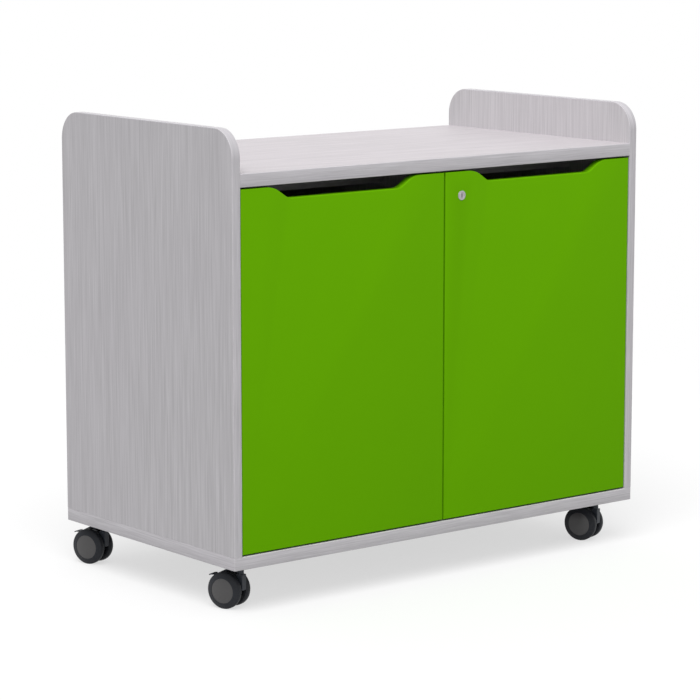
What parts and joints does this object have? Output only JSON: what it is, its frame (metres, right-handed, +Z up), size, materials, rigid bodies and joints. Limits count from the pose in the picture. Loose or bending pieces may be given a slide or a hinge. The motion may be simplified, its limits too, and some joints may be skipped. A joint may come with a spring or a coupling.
{
  "type": "mobile bedside cabinet",
  "caption": "Low mobile cabinet with inset green doors, cut-away finger pulls, a cam lock, raised side panels round the worktop and braked swivel casters.",
  "frame": {"origin": "on the floor, midway along the front and midway between the front face and the rearmost reach of the rear brake levers", "axes": "+X along the front to the right, +Y from front to back, +Z up"},
  "size_m": [0.9, 0.5122, 0.8043],
  "materials": {
    "pale_melamine": "fine-grained pale ash melamine, satin",
    "green_laminate": "smooth bright green, satin",
    "zinc_hardware": "zinc-plated steel",
    "beech_dowel": "raw beech",
    "lock_nickel": "satin nickel",
    "caster_nylon": "charcoal moulded nylon",
    "caster_tread": "charcoal nylon, slightly worn",
    "hub_cap_grey": "mid-grey moulded cap, satin",
    "axle_steel": "bright steel"
  },
  "bodies": {
    "carcass": {"base_panel": "pale_melamine", "left_side_panel": "pale_melamine", "right_side_panel": "pale_melamine", "worktop": "pale_melamine", "centre_partition": "pale_melamine", "back_panel": "pale_melamine", "left_shelf": "pale_melamine", "right_shelf": "pale_melamine", "shelf_pins": "zinc_hardware", "left_top_rail": "pale_melamine", "right_top_rail": "pale_melamine", "panel_dowels": "beech_dowel", "worktop_cam_fittings": "zinc_hardware", "base_screws": "zinc_hardware", "back_panel_screws": "zinc_hardware", "hinge_arms": "zinc_hardware", "hinge_plates": "zinc_hardware", "hinge_plate_screws": "zinc_hardware", "lock_strike": "zinc_hardware", "caster_plates": "zinc_hardware", "caster_screws": "zinc_hardware"},
    "left_door": {"left_door": "green_laminate", "left_hinge_cups": "zinc_hardware", "door_bolt_case": "zinc_hardware"},
    "door_bolt": {"door_bolt": "zinc_hardware"},
    "right_door": {"right_door": "green_laminate", "right_hinge_cups": "zinc_hardware", "lock_barrel": "lock_nickel", "lock_nut": "lock_nickel"},
    "lock": {"lock_plug": "lock_nickel", "lock_cam": "lock_nickel"},
    "front_left_swivel": {"front_left_caster_hood": "caster_nylon", "front_left_caster_axle": "axle_steel"},
    "front_left_brake": {"front_left_brake_lever": "caster_nylon"},
    "front_left_left_wheel": {"front_left_caster_left_wheel": "caster_tread", "front_left_caster_left_cap": "hub_cap_grey"},
    "front_left_right_wheel": {"front_left_caster_right_wheel": "caster_tread", "front_left_caster_right_cap": "hub_cap_grey"},
    "front_right_swivel": {"front_right_caster_hood": "caster_nylon", "front_right_caster_axle": "axle_steel"},
    "front_right_brake": {"front_right_brake_lever": "caster_nylon"},
    "front_right_left_wheel": {"front_right_caster_left_wheel": "caster_tread", "front_right_caster_left_cap": "hub_cap_grey"},
    "front_right_right_wheel": {"front_right_caster_right_wheel": "caster_tread", "front_right_caster_right_cap": "hub_cap_grey"},
    "rear_left_swivel": {"rear_left_caster_hood": "caster_nylon", "rear_left_caster_axle": "axle_steel"},
    "rear_left_brake": {"rear_left_brake_lever": "caster_nylon"},
    "rear_left_left_wheel": {"rear_left_caster_left_wheel": "caster_tread", "rear_left_caster_left_cap": "hub_cap_grey"},
    "rear_left_right_wheel": {"rear_left_caster_right_wheel": "caster_tread", "rear_left_caster_right_cap": "hub_cap_grey"},
    "rear_right_swivel": {"rear_right_caster_hood": "caster_nylon", "rear_right_caster_axle": "axle_steel"},
    "rear_right_brake": {"rear_right_brake_lever": "caster_nylon"},
    "rear_right_left_wheel": {"rear_right_caster_left_wheel": "caster_tread", "rear_right_caster_left_cap": "hub_cap_grey"},
    "rear_right_right_wheel": {"rear_right_caster_right_wheel": "caster_tread", "rear_right_caster_right_cap": "hub_cap_grey"}
  },
  "joints": [
    {"name": "left_door_hinge", "type": "hinge", "parent": "carcass", "child": "left_door", "pos_m": [-0.40603, -0.2456, 0.4048], "axis": [0, 0, -1], "range_deg": [0, 100]},
    {"name": "right_door_hinge", "type": "hinge", "parent": "carcass", "child": "right_door", "pos_m": [0.40603, -0.2456, 0.4048], "axis": [0, 0, 1], "range_deg": [0, 100]},
    {"name": "lock_turn", "type": "hinge", "parent": "right_door", "child": "lock", "pos_m": [0.0376, -0.2551, 0.6658], "axis": [0, 1, 0], "range_deg": [0, 90]},
    {"name": "door_bolt_slide", "type": "slide", "parent": "left_door", "child": "door_bolt", "axis": [0, 0, -1], "range_m": [0, 0.011]},
    {"name": "front_left_swivel_turn", "type": "hinge", "parent": "carcass", "child": "front_left_swivel", "pos_m": [-0.4046, -0.2107, 0.0733], "axis": [0, 0, 1], "continuous": true},
    {"name": "front_left_brake_press", "type": "hinge", "parent": "front_left_swivel", "child": "front_left_brake", "pos_m": [-0.40888, -0.19949, 0.0666], "axis": [-0.9342, -0.3567, 0], "range_deg": [0, 5]},
    {"name": "front_left_left_wheel_spin", "type": "hinge", "parent": "front_left_swivel", "child": "front_left_left_wheel", "pos_m": [-0.42635, -0.19439, 0.0313], "axis": [0.9342, 0.3567, 0], "continuous": true},
    {"name": "front_left_right_wheel_spin", "type": "hinge", "parent": "front_left_swivel", "child": "front_left_right_wheel", "pos_m": [-0.39926, -0.18404, 0.0313], "axis": [0.9342, 0.3567, 0], "continuous": true},
    {"name": "front_right_swivel_turn", "type": "hinge", "parent": "carcass", "child": "front_right_swivel", "pos_m": [0.4046, -0.2107, 0.0733], "axis": [0, 0, 1], "continuous": true},
    {"name": "front_right_brake_press", "type": "hinge", "parent": "front_right_swivel", "child": "front_right_brake", "pos_m": [0.40032, -0.19949, 0.0666], "axis": [-0.9342, -0.3567, 0], "range_deg": [0, 5]},
    {"name": "front_right_left_wheel_spin", "type": "hinge", "parent": "front_right_swivel", "child": "front_right_left_wheel", "pos_m": [0.38285, -0.19439, 0.0313], "axis": [0.9342, 0.3567, 0], "continuous": true},
    {"name": "front_right_right_wheel_spin", "type": "hinge", "parent": "front_right_swivel", "child": "front_right_right_wheel", "pos_m": [0.40994, -0.18404, 0.0313], "axis": [0.9342, 0.3567, 0], "continuous": true},
    {"name": "rear_left_swivel_turn", "type": "hinge", "parent": "carcass", "child": "rear_left_swivel", "pos_m": [-0.4046, 0.1985, 0.0733], "axis": [0, 0, 1], "continuous": true},
    {"name": "rear_left_brake_press", "type": "hinge", "parent": "rear_left_swivel", "child": "rear_left_brake", "pos_m": [-0.40888, 0.20971, 0.0666], "axis": [-0.9342, -0.3567, 0], "range_deg": [0, 5]},
    {"name": "rear_left_left_wheel_spin", "type": "hinge", "parent": "rear_left_swivel", "child": "rear_left_left_wheel", "pos_m": [-0.42635, 0.21481, 0.0313], "axis": [0.9342, 0.3567, 0], "continuous": true},
    {"name": "rear_left_right_wheel_spin", "type": "hinge", "parent": "rear_left_swivel", "child": "rear_left_right_wheel", "pos_m": [-0.39926, 0.22516, 0.0313], "axis": [0.9342, 0.3567, 0], "continuous": true},
    {"name": "rear_right_swivel_turn", "type": "hinge", "parent": "carcass", "child": "rear_right_swivel", "pos_m": [0.4046, 0.1985, 0.0733], "axis": [0, 0, 1], "continuous": true},
    {"name": "rear_right_brake_press", "type": "hinge", "parent": "rear_right_swivel", "child": "rear_right_brake", "pos_m": [0.40032, 0.20971, 0.0666], "axis": [-0.9342, -0.3567, 0], "range_deg": [0, 5]},
    {"name": "rear_right_left_wheel_spin", "type": "hinge", "parent": "rear_right_swivel", "child": "rear_right_left_wheel", "pos_m": [0.38285, 0.21481, 0.0313], "axis": [0.9342, 0.3567, 0], "continuous": true},
    {"name": "rear_right_right_wheel_spin", "type": "hinge", "parent": "rear_right_swivel", "child": "rear_right_right_wheel", "pos_m": [0.40994, 0.22516, 0.0313], "axis": [0.9342, 0.3567, 0], "continuous": true}
  ]
}
